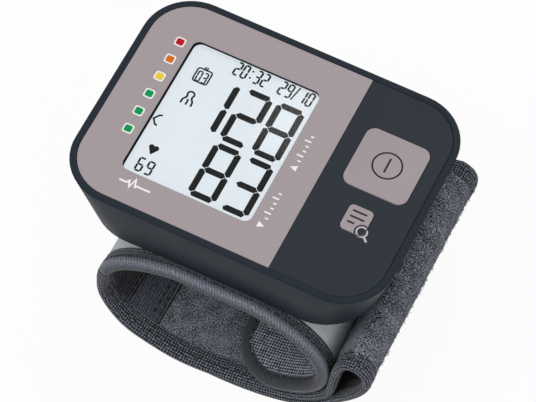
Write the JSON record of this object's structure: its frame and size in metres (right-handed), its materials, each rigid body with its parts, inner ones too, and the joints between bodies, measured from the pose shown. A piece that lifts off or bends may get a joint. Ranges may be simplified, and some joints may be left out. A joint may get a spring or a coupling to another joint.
{
  "type": "wrist blood pressure monitor",
  "caption": "Wrist blood pressure monitor with a large display, flush keys and a padded wrap-around cuff closed by a folded strap.",
  "frame": {"origin": "middle of the device's box, on the ground under the folded strap", "axes": "+Z out of the display, +X to the right along the reading direction, +Y to the top of the display; the wrist goes through along Y"},
  "size_m": [0.0861, 0.0654, 0.0617],
  "materials": {
    "housing_plastic": "moulded, fine spark texture",
    "panel_plastic": "moulded, satin",
    "label_film": "printed film, satin",
    "clear_window": "clear, polished",
    "display_glass": "reflective display, matt front",
    "holder_plastic": "moulded",
    "connector_rubber": "moulded",
    "key_plastic": "moulded, satin",
    "switch_plastic": "moulded",
    "plunger_plastic": "moulded",
    "board": "solder mask",
    "chip_plastic": "moulded",
    "sensor_plastic": "moulded",
    "steel": "plated",
    "cell_can": "printed sleeve",
    "coil_wire": "enamelled wire",
    "pump_plastic": "moulded",
    "sleeve_rubber": "moulded",
    "tube_rubber": "extruded",
    "cuff_cloth": "woven, mottled grey",
    "loop_cloth": "brushed loop, mottled grey",
    "binding_cloth": "woven tape",
    "hook_cloth": "moulded hooks on tape",
    "former_plastic": "pre-formed sheet",
    "bladder_film": "welded film"
  },
  "bodies": {
    "housing": {"housing_shell": "housing_plastic", "base_cover": "housing_plastic", "face_panel": "panel_plastic", "face_label": "label_film", "display_window": "clear_window", "lcd_panel": "display_glass", "lcd_holder": "holder_plastic", "lcd_connector_upper": "connector_rubber", "lcd_connector_lower": "connector_rubber", "start_stop_switch": "switch_plastic", "memory_switch": "switch_plastic", "main_circuit_board": "board", "control_chip": "chip_plastic", "pressure_sensor": "sensor_plastic", "battery_cell_1": "cell_can", "battery_cell_2": "cell_can", "battery_spring_1": "steel", "battery_spring_2": "steel", "battery_bridge_plate": "steel", "battery_minus_plate": "steel", "battery_plus_plate": "steel", "pump_head": "pump_plastic", "pump_motor": "steel", "pump_sleeve": "sleeve_rubber", "release_valve_frame": "steel", "release_valve_coil": "coil_wire", "air_manifold": "pump_plastic", "air_tube_pump": "tube_rubber", "air_tube_valve": "tube_rubber", "air_tube_sensor": "tube_rubber", "cuff_nozzle": "pump_plastic", "nozzle_seal": "sleeve_rubber", "cuff_mount_plate": "switch_plastic", "cuff_cover": "cuff_cloth", "cuff_stiffener": "former_plastic", "cuff_bladder": "bladder_film", "cuff_lining": "cuff_cloth", "cuff_binding": "binding_cloth", "tongue_hook_patch": "hook_cloth", "housing_screw_1": "steel", "housing_screw_2": "steel", "housing_screw_3": "steel", "housing_screw_4": "steel"},
    "start_stop_key": {"start_stop_button": "key_plastic", "start_stop_plunger": "plunger_plastic"},
    "memory_key": {"memory_button": "key_plastic", "memory_plunger": "plunger_plastic"},
    "battery_lid": {"battery_door": "housing_plastic"},
    "pump_shaft": {"pump_rotor": "steel"},
    "valve_plunger": {"release_valve_plunger": "steel"},
    "strap": {"strap_cover": "cuff_cloth", "strap_lining": "cuff_cloth", "strap_loop_pad": "loop_cloth", "strap_near_binding": "binding_cloth", "strap_far_binding": "binding_cloth"},
    "strap_end": {"strap_end_cover": "cuff_cloth", "strap_end_loop_pad": "loop_cloth", "strap_end_binding": "binding_cloth"}
  },
  "joints": [
    {"name": "start_stop_press", "type": "slide", "parent": "housing", "child": "start_stop_key", "axis": [0, 0, -1], "range_m": [0, 0.0004], "stiffness_N_per_m": 3000},
    {"name": "memory_press", "type": "slide", "parent": "housing", "child": "memory_key", "axis": [0, 0, -1], "range_m": [0, 0.0004], "stiffness_N_per_m": 3000},
    {"name": "battery_door_slide", "type": "slide", "parent": "housing", "child": "battery_lid", "axis": [-1, 0, 0], "range_m": [0, 0.012]},
    {"name": "pump_rotor_spin", "type": "hinge", "parent": "housing", "child": "pump_shaft", "pos_m": [0.00891, -0.0201, 0.05078], "axis": [1, 0, 0], "continuous": true},
    {"name": "release_valve_stroke", "type": "slide", "parent": "housing", "child": "valve_plunger", "axis": [-1, 0, 0], "range_m": [0, 0.0008], "stiffness_N_per_m": 300},
    {"name": "cuff_opening", "type": "hinge", "parent": "housing", "child": "strap", "pos_m": [-0.03054, 0, 0.02348], "axis": [0, 1, 0], "range_deg": [0, 35]},
    {"name": "strap_end_unfold", "type": "hinge", "parent": "strap", "child": "strap_end", "pos_m": [0.03781, 0, 0.03638], "axis": [0, -1, 0], "range_deg": [0, 70]}
  ]
}
